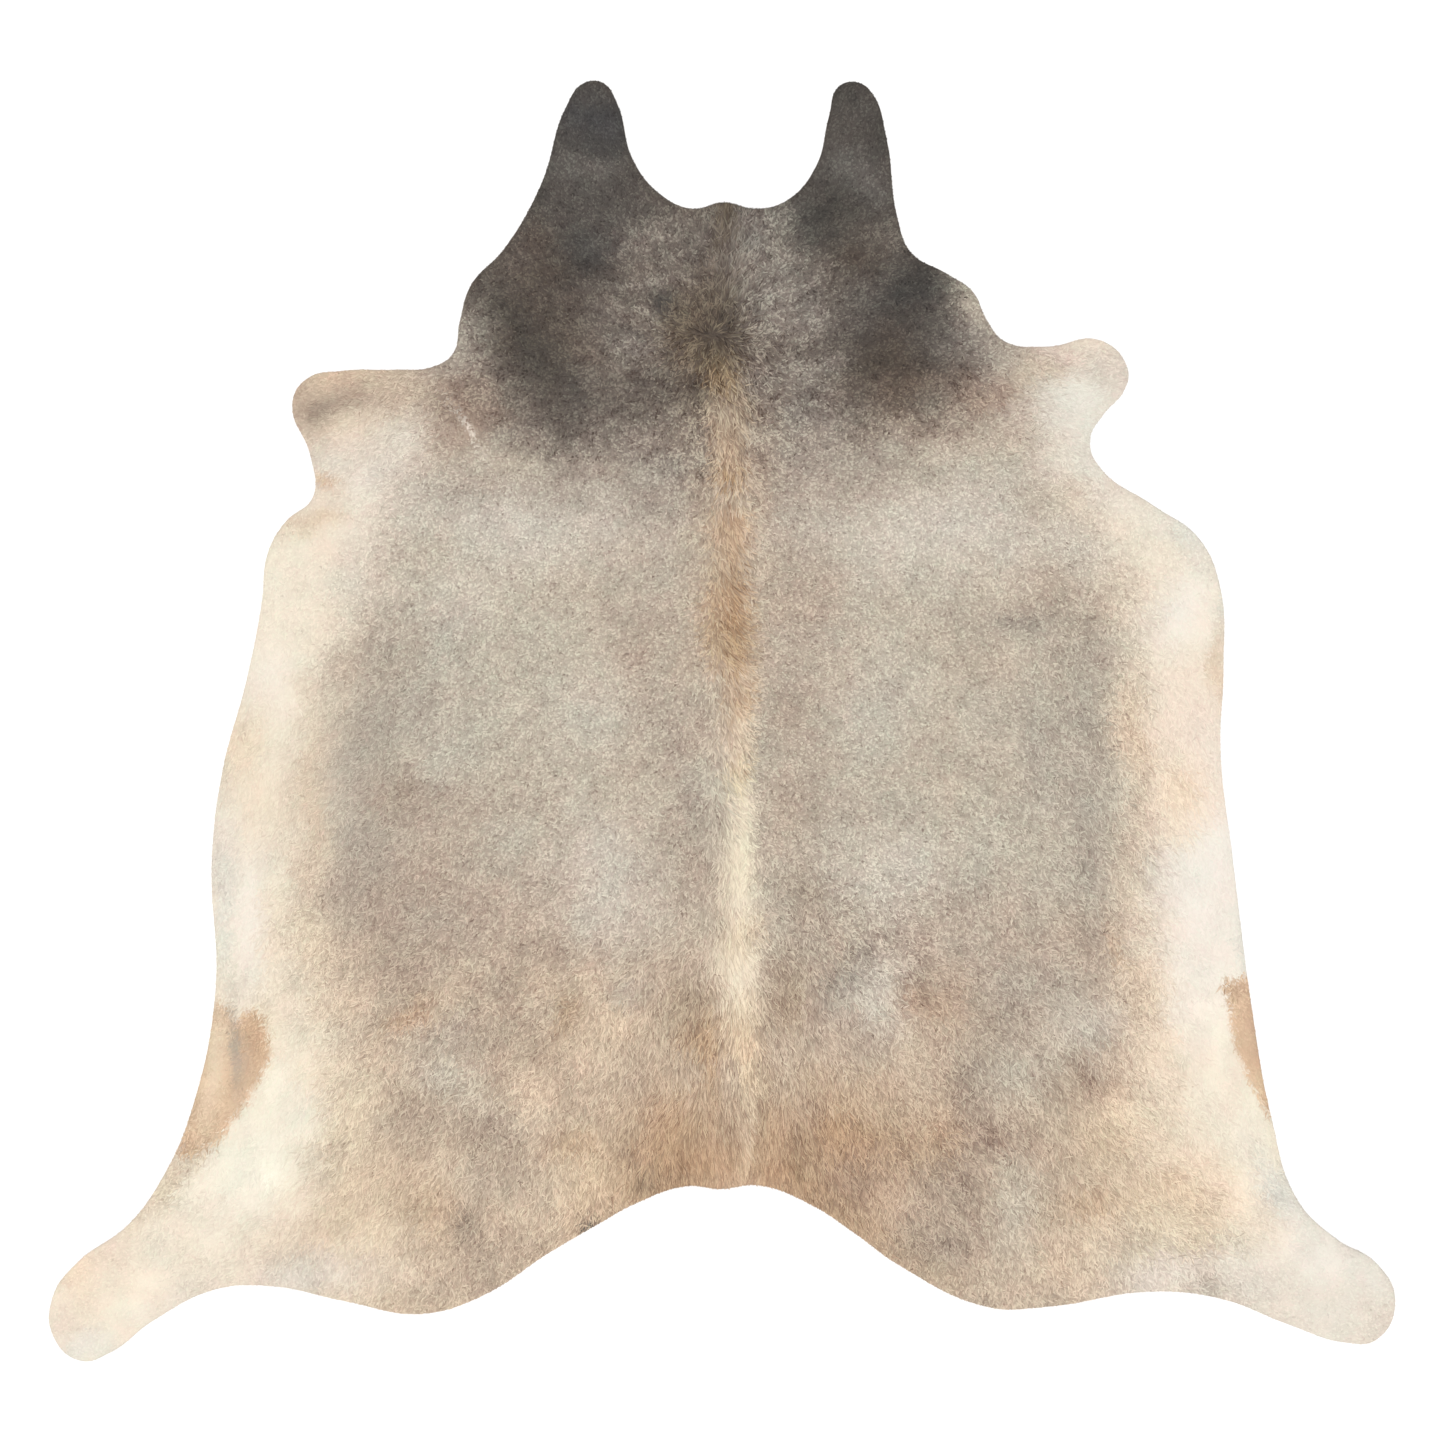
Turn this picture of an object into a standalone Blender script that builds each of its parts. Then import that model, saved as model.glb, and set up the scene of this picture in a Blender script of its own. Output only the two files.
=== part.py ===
"""A flat cowhide rug: one hair-on hide in one piece, lying on its flesh side.

The frame is in metres with +Z up. The origin is on the floor under the middle of the
hide's box, +Y runs toward the neck and +X to the right of the spine, seen from above.
"""

import bmesh
import bpy

MM = 0.001

# Driving sizes, in millimetres
LEATHER_THICKNESS = 2.0
PILE_HEIGHT = 5.0
TIP_HEIGHT = 1.7      # the hair tips reach furthest out at this height
UNDER_RIM = 2.5       # how far the flat underside stays inside the hair tips
CURVE_STEPS = 6       # straight steps between two landmarks of the outline

# The rounding of the laid hair above its furthest reach: a step inward, then up
RIM_STEPS = (
    # inward, share of the height above the tips
    (0.8, 0.46),
    (2.0, 0.34),
    (4.2, 0.20),
)

# The outline as landmarks, clockwise from the middle of the neck cut. Each row is a
# place on the hide, millimetres to the right of the origin, millimetres toward the neck.
NECK_RIGHT = (
    ("middle of the neck cut", 2, 832),
    ("neck cut, right hollow", 55, 822),
    ("right cheek, foot", 103, 835),
    ("right cheek, inner side", 149, 888),
    ("right cheek, inner top", 171, 972),
    ("right cheek, inner corner", 185, 1016),
    ("right cheek, tip", 214, 1025),
    ("right cheek, outer corner", 240, 1008),
    ("right cheek, outer side", 264, 936),
    ("neck, right side", 282, 806),
)
FORELEG_RIGHT = (
    ("right shoulder, hollow", 303, 752),
    ("right shoulder, crest", 360, 718),
    ("right shoulder, slope", 402, 689),
    ("right shoulder, foot", 425, 643),
    ("right foreleg, root", 452, 610),
    ("right foreleg, upper edge", 520, 601),
    ("right foreleg, upper corner", 606, 611),
    ("right foreleg, tip", 650, 566),
    ("right foreleg, lower corner", 646, 532),
    ("right foreleg, lower edge", 611, 490),
    ("right armpit", 590, 450),
)
FLANK_RIGHT = (
    ("right armpit, below", 606, 407),
    ("right chest", 692, 346),
    ("right chest, corner", 764, 294),
    ("right flank, upper", 798, 218),
    ("right flank, belly", 804, 84),
    ("right flank, waist", 799, -46),
    ("right flank, lower", 819, -222),
    ("right flank, loin", 851, -470),
    ("right hock, inner bend", 881, -636),
)
HIND_LEG_RIGHT = (
    ("right hock, outer bend", 922, -766),
    ("right hind leg, outer edge", 985, -829),
    ("right hind foot, upper corner", 1048, -867),
    ("right hind foot, tip", 1079, -927),
    ("right hind foot, lower corner", 1049, -991),
    ("right hind foot, heel", 999, -996),
    ("right hind leg, lower edge", 910, -968),
    ("right haunch, outer", 800, -926),
    ("right haunch, hollow", 692, -914),
    ("right haunch, swell", 516, -939),
    ("right haunch, crest", 426, -939),
    ("right haunch, slope", 282, -871),
    ("right haunch, upper slope", 214, -822),
)
RUMP = (
    ("rump, right corner", 146, -777),
    ("rump, right swell", 58, -744),
    ("rump, tail dip", -4, -750),
    ("rump, left swell", -54, -745),
    ("rump, left corner", -136, -772),
)
HIND_LEG_LEFT = (
    ("left haunch, upper slope", -200, -807),
    ("left haunch, slope", -275, -851),
    ("left haunch, crest", -388, -923),
    ("left haunch, swell", -484, -950),
    ("left haunch, outer", -602, -930),
    ("left haunch, hollow", -728, -905),
    ("left hind leg, root", -812, -911),
    ("left hind leg, lower edge", -914, -963),
    ("left hind foot, lower corner", -978, -1011),
    ("left hind foot, tip", -1028, -1025),
    ("left hind foot, outer side", -1072, -985),
    ("left hind foot, upper side", -1073, -922),
    ("left hind foot, upper corner", -1036, -869),
    ("left hind leg, outer edge", -950, -804),
)
FLANK_LEFT = (
    ("left hock, inner bend", -895, -727),
    ("left flank, loin", -849, -618),
    ("left flank, lower", -812, -429),
    ("left flank, belly", -818, -222),
    ("left flank, waist", -801, -80),
    ("left flank, rib", -762, 68),
    ("left flank, upper", -738, 190),
)
FORELEG_LEFT = (
    ("left chest", -728, 271),
    ("left chest, corner", -699, 321),
    ("left armpit", -656, 360),
    ("left foreleg, lower edge", -660, 425),
    ("left foreleg, tip", -689, 510),
    ("left foreleg, upper corner", -666, 549),
    ("left foreleg, upper edge", -610, 562),
    ("left foreleg, inner edge", -520, 564),
    ("left foreleg, root", -466, 568),
    ("left shoulder, foot", -432, 589),
)
NECK_LEFT = (
    ("left shoulder, slope", -421, 640),
    ("left shoulder, crest", -403, 699),
    ("left shoulder, hollow", -350, 757),
    ("neck, left side", -290, 862),
    ("left cheek, outer side", -250, 986),
    ("left cheek, outer corner", -222, 1023),
    ("left cheek, tip", -190, 1023),
    ("left cheek, inner top", -168, 992),
    ("left cheek, inner side", -141, 898),
    ("left cheek, foot", -97, 844),
    ("neck cut, left hollow", -48, 822),
)
OUTLINE = (
    NECK_RIGHT + FORELEG_RIGHT + FLANK_RIGHT + HIND_LEG_RIGHT + RUMP
    + HIND_LEG_LEFT + FLANK_LEFT + FORELEG_LEFT + NECK_LEFT
)


def clear_scene():
    """Remove what the file opened with."""
    for scene_object in list(bpy.data.objects):
        bpy.data.objects.remove(scene_object, do_unlink=True)


def hair_material():
    """Short laid cow hair in the hide's middle tone."""
    material = bpy.data.materials.new("cow_hair")
    material.use_nodes = True
    shader = material.node_tree.nodes["Principled BSDF"]
    shader.inputs["Base Color"].default_value = (0.50, 0.42, 0.33, 1.0)
    shader.inputs["Roughness"].default_value = 0.62
    shader.inputs["Metallic"].default_value = 0.0
    return material


def outline_ring(height):
    """The hide's smooth outline through its landmarks, as points at one height."""
    curve = bpy.data.curves.new("hide_outline", "CURVE")
    curve.dimensions = "2D"
    curve.resolution_u = CURVE_STEPS
    curve.fill_mode = "NONE"
    spline = curve.splines.new("BEZIER")
    spline.bezier_points.add(len(OUTLINE) - 1)
    for point, (_, across, along) in zip(spline.bezier_points, OUTLINE):
        point.co = (across * MM, along * MM, 0.0)
        point.handle_left_type = "AUTO"
        point.handle_right_type = "AUTO"
    spline.use_cyclic_u = True
    guide = bpy.data.objects.new("hide_outline", curve)
    bpy.context.scene.collection.objects.link(guide)
    bpy.context.view_layer.update()
    evaluated = guide.evaluated_get(bpy.context.evaluated_depsgraph_get())
    points = [vertex.co.xy for vertex in evaluated.to_mesh().vertices]
    bpy.data.objects.remove(guide, do_unlink=True)
    bpy.data.curves.remove(curve)
    middle_x = (min(p.x for p in points) + max(p.x for p in points)) / 2
    middle_y = (min(p.y for p in points) + max(p.y for p in points)) / 2
    return [(p.x - middle_x, p.y - middle_y, height) for p in points]


def inset_face(shape, ring, steps):
    """Close a ring with a face, stepped inward and along its normal."""
    face = shape.faces.new(ring)
    face.normal_update()
    for inward, along_normal in steps:
        bmesh.ops.inset_region(
            shape,
            faces=[face],
            thickness=inward * MM,
            depth=along_normal * MM,
            use_even_offset=True,
            use_boundary=True,
        )
    return face


def hide(collection):
    """The hide as one flat solid: leather below, laid hair rounded off at the rim."""
    shape = bmesh.new()
    ring = [shape.verts.new(point) for point in outline_ring(TIP_HEIGHT * MM)]
    above_tips = LEATHER_THICKNESS + PILE_HEIGHT - TIP_HEIGHT
    rim = [(inward, share * above_tips) for inward, share in RIM_STEPS]
    top = inset_face(shape, list(reversed(ring)), rim)
    underside = inset_face(shape, ring, [(UNDER_RIM, TIP_HEIGHT)])
    bmesh.ops.triangulate(shape, faces=[top, underside], ngon_method="BEAUTY")
    bmesh.ops.recalc_face_normals(shape, faces=shape.faces)
    mesh = bpy.data.meshes.new("cowhide")
    shape.to_mesh(mesh)
    shape.free()
    mesh.shade_smooth()
    mesh.set_sharp_from_angle(angle=0.9)
    mesh.materials.append(hair_material())
    rug = bpy.data.objects.new("cowhide", mesh)
    collection.objects.link(rug)
    return rug


def build():
    clear_scene()
    collection = bpy.data.collections.new("cowhide_rug")
    bpy.context.scene.collection.children.link(collection)
    hide(collection)


build()
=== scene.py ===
import bpy
import numpy as np
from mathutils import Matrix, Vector, geometry


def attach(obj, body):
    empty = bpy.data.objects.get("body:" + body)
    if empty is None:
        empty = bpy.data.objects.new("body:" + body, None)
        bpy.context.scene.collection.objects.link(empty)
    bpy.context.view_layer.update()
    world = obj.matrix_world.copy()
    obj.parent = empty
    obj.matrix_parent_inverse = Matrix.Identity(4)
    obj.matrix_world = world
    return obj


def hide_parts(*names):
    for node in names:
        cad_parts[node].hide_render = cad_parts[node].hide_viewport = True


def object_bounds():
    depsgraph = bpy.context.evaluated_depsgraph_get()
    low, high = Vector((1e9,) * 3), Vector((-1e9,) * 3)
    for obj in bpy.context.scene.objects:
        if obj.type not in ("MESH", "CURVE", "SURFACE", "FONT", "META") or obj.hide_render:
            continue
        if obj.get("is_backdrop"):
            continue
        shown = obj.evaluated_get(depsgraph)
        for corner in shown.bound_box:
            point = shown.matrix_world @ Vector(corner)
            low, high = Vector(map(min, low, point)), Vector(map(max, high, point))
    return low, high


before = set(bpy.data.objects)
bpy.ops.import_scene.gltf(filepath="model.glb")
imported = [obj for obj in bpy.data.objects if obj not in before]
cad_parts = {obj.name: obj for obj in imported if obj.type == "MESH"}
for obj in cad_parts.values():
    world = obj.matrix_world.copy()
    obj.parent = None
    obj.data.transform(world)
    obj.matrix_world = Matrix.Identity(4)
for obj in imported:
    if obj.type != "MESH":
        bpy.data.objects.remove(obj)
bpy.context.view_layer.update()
print("frame loaded")

mm = 0.001  # every length below is in millimetres
seeds = {  # of the random numbers
    "warp": (3, 13), "locks": 11, "mottle": 23, "lie": 31, "swell": 41, "tint": 61, "streaks": 71,
    "folds": 91,
}


# Shared tools

def linearColour(hexColour):
    # sRGB hex to linear light
    parts = np.array([int(hexColour[i:i + 2], 16) for i in (1, 3, 5)]) / 255
    return np.where(parts <= 0.04045, parts / 12.92, ((parts + 0.055) / 1.055) ** 2.4)


def easeStep(low, high, value):
    share = np.clip((value - low) / (high - low), 0, 1)
    return share * share * (3 - 2 * share)


def softNoise(x, y, size, seed):
    # Smooth noise from -1 to 1, with bumps of one size
    lattice = np.random.default_rng(seed).uniform(-1, 1, (256, 256))
    column, row = np.floor(x / size).astype(int), np.floor(y / size).astype(int)
    right, up = x / size - column, y / size - row
    right, up = right * right * (3 - 2 * right), up * up * (3 - 2 * up)
    columns, rows = (column % 256, (column + 1) % 256), (row % 256, (row + 1) % 256)
    low = lattice[columns[0], rows[0]] * (1 - right) + lattice[columns[1], rows[0]] * right
    high = lattice[columns[0], rows[1]] * (1 - right) + lattice[columns[1], rows[1]] * right
    return low * (1 - up) + high * up


def layeredNoise(x, y, layers, seed):
    # Smooth noise of several bump sizes, each with its own share
    return sum(share * softNoise(x, y, size, seed + k) for k, (size, share) in enumerate(layers))


def addNode(tree, kind, settings=(), values=(), links=()):
    # One shader node, with its settings, input values and incoming links
    node = tree.nodes.new(kind)
    for name, value in dict(settings).items():
        setattr(node, name, value)
    for name, value in dict(values).items():
        node.inputs[name].default_value = value
    for name, socket in dict(links).items():
        tree.links.new(socket, node.inputs[name])
    return node


def newMaterial(name, values):
    # A material with its shader and the shader's even values
    material = bpy.data.materials.new(name)
    material.use_nodes = True
    tree = material.node_tree
    shader = tree.nodes["Principled BSDF"]
    for socket, value in values.items():
        shader.inputs[socket].default_value = value
    return material, tree, shader


def meshPiece(name, points, triangles, material, colours=None, grain=None, strands=None, spread=None):
    # A mesh object from arrays, with colour, grain, strand coordinates and a texture map if given
    mesh = bpy.data.meshes.new(name)
    mesh.vertices.add(len(points))
    mesh.vertices.foreach_set("co", (points * mm).astype(np.float32).ravel())
    mesh.loops.add(triangles.size)
    mesh.loops.foreach_set("vertex_index", triangles.astype(np.int32).ravel())
    mesh.polygons.add(len(triangles))
    mesh.polygons.foreach_set("loop_start", np.arange(0, triangles.size, 3, dtype=np.int32))
    mesh.update(calc_edges=True)
    if colours is not None:
        layer = mesh.color_attributes.new(name="coat", type="FLOAT_COLOR", domain="POINT")
        opaque = np.concatenate([colours, np.ones((len(colours), 1))], axis=1)
        layer.data.foreach_set("color", opaque.astype(np.float32).ravel())
    if grain is not None:
        layer = mesh.attributes.new(name="grain", type="FLOAT", domain="POINT")
        layer.data.foreach_set("value", grain.astype(np.float32))
    if strands is not None:
        layer = mesh.attributes.new(name="strand", type="FLOAT_VECTOR", domain="POINT")
        layer.data.foreach_set("vector", strands.astype(np.float32).ravel())
    if spread is not None:
        layer = mesh.uv_layers.new(name="OFBake")
        layer.data.foreach_set("uv", spread.astype(np.float32).ravel())
    mesh.materials.append(material)
    piece = bpy.data.objects.new(name, mesh)
    bpy.context.scene.collection.objects.link(piece)
    return piece


# The coat: hair colours as seen, and where they lie on the hide

palette = {
    "charcoal": "#42413f",
    "soot": "#4a4640",
    "umber": "#564b41",
    "slate": "#5b554f",
    "bark": "#6c5c4f",
    "taupe": "#776d63",
    "stone": "#8c837a",
    "mist": "#a0978b",
    "clay": "#a58d7c",
    "mauve": "#aa9887",
    "greige": "#b0a597",
    "khaki": "#c3b9a8",
    "pebble": "#cfc6b8",
    "sand": "#c5b29d",
    "tan": "#b59678",
    "biscuit": "#bfa68c",
    "caramel": "#cdab8a",
    "fawn": "#d5c0a8",
    "oat": "#dfceb4",
    "linen": "#e2d8ca",
    "blush": "#efdccc",
    "milk": "#ebddc6",
    "cream": "#f2e6d2",
    "ivory": "#faf2e6",
    "coolWhite": "#e3e2d7",
    "dove": "#bcab9a",
    "saddle": "#a98765",
    "gold": "#927b5f",
    "bronze": "#6f5f49",
    "butter": "#fdf5e1",
    "olive": "#655a4c",
    "flax": "#ab9983",
    "tawny": "#b0916f",
    "rye": "#bb9d7e",
    "bran": "#c9aa8a",
    "barley": "#dcc5a8",
    "straw": "#dccbab",
    "wheat": "#ebdfc6",
    "peach": "#eed8bf",
    "shell": "#dccabc",
    "ash": "#716c66",
    "smoke": "#4b4a4a",
}

coat = {
    "capeEdge": (  # across, along, softness: the dark neck ends here
        (-470, 600, 60), (-400, 540, 60), (-340, 490, 80), (-260, 455, 90), (-160, 455, 90),
        (-67, 470, 80), (-14, 490, 50), (61, 490, 60), (130, 485, 80), (220, 450, 90), (320, 450, 80),
        (390, 500, 60), (440, 600, 60),
    ),
    "bellyEdge": (  # along, across on the left, across on the right: the pale belly starts here
        (420, -490, 550), (330, -520, 575), (250, -550, 620), (150, -595, 656), (0, -645, 668),
        (-150, -675, 694), (-300, -672, 688), (-450, -640, 678), (-550, -610, 675), (-650, -610, 680),
        (-750, -690, 750), (-900, -780, 820),
    ),
    "bellySoftness": 108,
    "capeReach": 480,  # the dark neck is no wider than this, either side
    "sideSoftness": 250,  # the left colours turn into the right ones over this much
    "back": (  # along, left colour, right colour
        (440, "dove", "dove"), (320, "pebble", "pebble"), (200, "khaki", "khaki"),
        (60, "khaki", "khaki"), (-120, "khaki", "khaki"), (-250, "dove", "khaki"),
        (-420, "sand", "dove"), (-600, "sand", "sand"), (-800, "fawn", "sand"),
    ),
    "belly": (
        (540, "fawn", "linen"), (400, "linen", "linen"), (280, "cream", "cream"),
        (30, "cream", "cream"), (-130, "milk", "ivory"), (-300, "cream", "ivory"),
        (-550, "milk", "cream"), (-700, "cream", "cream"), (-950, "cream", "linen"),
    ),
    "cape": (
        (1000, "slate", "slate"), (780, "slate", "slate"), (600, "bark", "taupe"),
        (480, "taupe", "taupe"),
    ),
    "patches": (  # place, then across, along, half length, half width, angle, colour, strength of each
        ("left cheek", (
            (-195, 955, 50, 28, 10, "smoke", 0.9), (-205, 915, 35, 30, 0, "charcoal", 0.5),
            (-215, 882, 40, 14, 25, "ash", 0.7), (-285, 845, 60, 18, 70, "soot", 0.7),
        )),
        ("left nape", (
            (-215, 745, 60, 30, 20, "charcoal", 0.95), (-290, 760, 40, 30, 50, "bark", 0.5),
            (-280, 715, 50, 22, 10, "umber", 0.7),
        )),
        ("nape", (
            (-90, 745, 70, 75, 0, "taupe", 0.85), (-50, 805, 40, 25, 0, "taupe", 0.8),
            (50, 805, 40, 25, 0, "stone", 0.45), (-90, 705, 35, 20, 0, "stone", 0.6),
        )),
        ("neck, its light curls", (
            (-145, 642, 50, 30, -35, "stone", 0.45), (-165, 600, 40, 20, 0, "stone", 0.4),
            (-175, 570, 55, 10, 25, "stone", 0.5), (-150, 545, 50, 9, 20, "stone", 0.4),
        )),
        ("neck, left", (
            (-42, 585, 40, 55, 0, "bronze", 0.6), (-40, 545, 30, 35, 0, "umber", 0.5),
            (-200, 650, 70, 45, 0, "slate", 0.3), (-200, 575, 70, 50, 0, "taupe", 0.45),
            (-130, 545, 70, 45, 0, "taupe", 0.8),
        )),
        ("nape and neck, right", (
            (70, 770, 60, 45, 0, "stone", 0.6), (106, 738, 52, 48, 0, "mist", 0.95),
            (85, 680, 55, 45, 90, "stone", 0.8), (95, 640, 50, 35, 0, "mist", 0.5),
            (160, 650, 50, 50, 0, "stone", 0.5), (135, 565, 45, 12, 25, "mist", 0.6),
            (130, 540, 80, 35, 0, "stone", 0.5),
        )),
        ("nape's dark side, right", (
            (165, 800, 62, 48, 40, "soot", 0.95), (150, 765, 45, 25, 0, "soot", 0.6),
            (255, 757, 45, 32, 0, "taupe", 0.85), (190, 727, 42, 26, 0, "umber", 0.85),
        )),
        ("right cheek", (
            (190, 1000, 25, 30, 0, "soot", 0.7), (252, 935, 45, 16, 80, "soot", 0.7),
            (205, 872, 34, 22, -35, "ash", 0.8), (238, 846, 25, 18, -35, "ash", 0.6),
        )),
        ("left shoulder", (
            (-372, 690, 60, 34, 60, "taupe", 0.7), (-410, 620, 55, 35, 80, "mist", 0.9),
            (-345, 665, 45, 15, -30, "umber", 0.7), (-322, 612, 80, 48, -65, "soot", 0.8),
            (-280, 552, 62, 34, -60, "soot", 0.8), (-240, 512, 55, 25, 0, "slate", 0.6),
            (-200, 485, 95, 34, 0, "taupe", 0.6), (-340, 512, 60, 40, 15, "taupe", 1.0),
            (-335, 468, 60, 22, 10, "stone", 0.5), (-395, 562, 35, 25, 0, "stone", 0.7),
            (-425, 508, 45, 45, 0, "mauve", 0.95), (-400, 470, 45, 22, 0, "mauve", 0.5),
            (-410, 512, 36, 34, 0, "clay", 0.9), (-432, 582, 34, 28, 0, "greige", 0.8),
            (-490, 542, 40, 26, 0, "sand", 0.7), (-230, 440, 110, 32, 0, "stone", 0.5),
        )),
        ("right shoulder", (
            (300, 660, 60, 50, 90, "charcoal", 0.95), (270, 585, 80, 52, 0, "umber", 1.0),
            (345, 588, 48, 42, 0, "slate", 0.9), (335, 572, 34, 26, 0, "soot", 0.35),
            (295, 705, 35, 30, 0, "soot", 0.6), (412, 655, 55, 28, -60, "khaki", 0.9),
            (395, 600, 40, 45, 90, "stone", 0.8), (450, 590, 40, 35, 0, "greige", 0.8),
            (300, 510, 35, 35, 0, "bark", 0.9), (310, 470, 45, 20, 0, "clay", 0.5),
            (370, 510, 40, 35, 0, "clay", 0.7), (262, 505, 55, 34, 0, "bark", 0.8),
            (340, 500, 48, 30, 0, "taupe", 0.8), (430, 520, 50, 22, 20, "clay", 0.9),
            (490, 555, 45, 22, 30, "sand", 0.8), (590, 575, 50, 24, -20, "shell", 0.5),
        )),
        ("right chest", (
            (130, 492, 60, 30, 0, "stone", 0.8), (250, 415, 75, 28, 0, "mist", 0.8),
        )),
        ("left foreleg and elbow", (
            (-580, 530, 90, 25, 5, "sand", 0.7), (-622, 508, 36, 13, 32, "mauve", 0.5),
            (-612, 478, 60, 20, 15, "fawn", 0.8), (-580, 525, 45, 16, 10, "mauve", 0.7),
            (-664, 515, 32, 42, 0, "mauve", 0.55), (-600, 450, 50, 30, 0, "linen", 0.35),
            (-510, 450, 45, 50, 0, "linen", 0.6), (-642, 386, 22, 16, 0, "caramel", 0.7),
            (-670, 318, 45, 20, 30, "oat", 0.7), (-655, 324, 46, 15, 4, "fawn", 0.7),
        )),
        ("right foreleg and elbow", (
            (550, 585, 55, 18, -20, "shell", 0.9), (620, 610, 50, 25, 0, "cream", 0.8),
            (560, 505, 65, 35, 0, "linen", 1.0), (520, 400, 48, 60, 0, "pebble", 0.8),
            (575, 440, 50, 40, 0, "linen", 0.8), (565, 500, 55, 36, 0, "coolWhite", 0.75),
            (610, 550, 40, 26, 0, "pebble", 0.85), (602, 402, 28, 32, 0, "coolWhite", 0.7),
            (570, 370, 45, 30, 0, "fawn", 0.5),
        )),
        ("withers", (
            (-60, 430, 80, 45, 0, "stone", 0.65), (-120, 350, 120, 48, 0, "mist", 0.7),
            (-270, 400, 80, 35, 0, "mist", 0.5), (110, 430, 80, 45, 0, "mist", 0.9),
            (110, 370, 70, 30, 0, "greige", 0.8), (192, 350, 40, 30, 0, "greige", 0.5),
        )),
        ("both sides of the spine, upper", (
            (-34, 330, 120, 30, 90, "flax", 0.5), (-32, 165, 110, 30, 90, "sand", 0.6),
            (60, 330, 120, 30, 90, "biscuit", 0.5), (66, 160, 110, 30, 90, "sand", 0.5),
            (-140, 250, 60, 80, 0, "dove", 0.4), (150, 230, 60, 100, 0, "dove", 0.5),
        )),
        ("left chest and upper back", (
            (-430, 370, 70, 40, 0, "greige", 0.5), (-330, 420, 60, 25, 0, "khaki", 0.7),
            (-270, 300, 90, 40, 0, "pebble", 0.9), (-480, 260, 50, 60, 0, "khaki", 0.8),
        )),
        ("right chest and upper back", (
            (380, 420, 90, 40, 0, "khaki", 0.8), (500, 345, 50, 34, 0, "khaki", 0.8),
            (330, 320, 90, 35, 20, "pebble", 0.8), (450, 270, 60, 40, 0, "pebble", 0.6),
            (560, 285, 45, 40, 0, "pebble", 0.8), (440, 60, 60, 120, 0, "dove", 0.3),
            (520, 210, 40, 50, 0, "dove", 0.6),
        )),
        ("left band inside the belly", (
            (-545, 110, 42, 50, 0, "greige", 0.8), (-585, 205, 35, 55, 0, "linen", 0.5),
            (-575, 275, 60, 40, 70, "blush", 0.5), (-608, 30, 110, 30, 80, "fawn", 0.4),
            (-550, 0, 150, 46, 90, "greige", 0.75), (-470, 40, 60, 30, 90, "greige", 0.7),
            (-560, -200, 100, 55, 90, "greige", 0.8), (-550, -330, 90, 60, 90, "mauve", 0.5),
        )),
        ("left back", (
            (-430, -290, 100, 80, 0, "dove", 0.8), (-400, -180, 80, 50, 0, "dove", 0.9),
            (-440, -130, 40, 25, 0, "mauve", 0.6), (-502, -114, 40, 38, 0, "mauve", 0.75),
            (-180, -270, 80, 90, 0, "pebble", 0.8), (-345, -190, 48, 42, 0, "khaki", 1.0),
            (-425, 190, 46, 40, 0, "pebble", 0.8), (-195, -190, 46, 46, 0, "pebble", 0.8),
            (-170, -480, 70, 45, 0, "fawn", 0.8), (-285, -575, 45, 45, 0, "fawn", 0.6),
            (-200, 40, 60, 50, 0, "pebble", 0.4),
        )),
        ("left of the spine", (
            (-110, 130, 50, 70, 0, "dove", 0.8), (-75, -20, 60, 50, 90, "dove", 0.8),
            (-42, -115, 55, 26, 90, "greige", 0.8), (-60, -210, 60, 34, 90, "mauve", 0.4),
            (-270, -360, 45, 25, 0, "mauve", 0.7),
        )),
        ("right of the spine", (
            (105, 190, 120, 50, 90, "dove", 0.8), (95, 10, 60, 45, 0, "mauve", 0.6),
            (115, -130, 100, 50, 90, "dove", 0.8),
        )),
        ("right back", (
            (140, -280, 50, 38, 0, "mauve", 0.9), (270, -240, 70, 50, 0, "pebble", 0.9),
            (260, 60, 60, 70, 0, "pebble", 0.4),
        )),
        ("right band inside the belly", (
            (465, 165, 45, 24, 0, "mist", 0.8), (590, 150, 40, 30, 0, "mauve", 0.4),
            (500, -40, 60, 34, 90, "greige", 0.7), (575, 30, 140, 42, 90, "mist", 0.5),
            (590, -200, 90, 60, 90, "greige", 0.8), (590, -350, 70, 50, 0, "mauve", 0.6),
            (400, -330, 110, 60, 0, "dove", 0.8),
        )),
        ("left flank and leg", (
            (-655, -120, 150, 24, 90, "fawn", 0.7), (-655, -365, 90, 28, 90, "oat", 0.7),
            (-702, -405, 60, 34, 90, "milk", 0.8), (-738, 45, 60, 34, 90, "ivory", 0.6),
            (-770, -40, 70, 30, 70, "oat", 0.7), (-750, -330, 110, 40, 90, "ivory", 0.8),
            (-696, -300, 75, 22, 90, "milk", 0.85), (-740, -690, 90, 50, 60, "butter", 0.8),
            (-706, -585, 50, 26, 90, "butter", 0.8), (-722, -490, 40, 30, 90, "milk", 0.7),
            (-712, -650, 90, 45, 90, "butter", 0.85), (-805, -300, 130, 16, 90, "coolWhite", 0.9),
            (-808, -180, 90, 26, 85, "linen", 1.0),
        )),
        ("right chest and belly", (
            (726, 190, 50, 50, 0, "ivory", 0.8), (650, 196, 36, 55, 0, "sand", 0.35),
            (806, 190, 60, 14, 82, "coolWhite", 0.8), (740, 300, 60, 25, -40, "coolWhite", 0.9),
            (655, -20, 100, 32, 90, "fawn", 0.85), (750, 0, 90, 40, 90, "blush", 0.8),
            (798, 90, 70, 10, 90, "fawn", 0.8), (735, -125, 40, 40, 0, "peach", 0.9),
            (655, -250, 130, 28, 90, "fawn", 0.6), (762, -260, 140, 46, 90, "ivory", 1.0),
            (722, -105, 70, 34, 90, "peach", 0.85),
        )),
        ("right flank", (
            (690, -440, 110, 36, 90, "peach", 0.7), (648, -480, 60, 30, 90, "fawn", 0.7),
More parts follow.
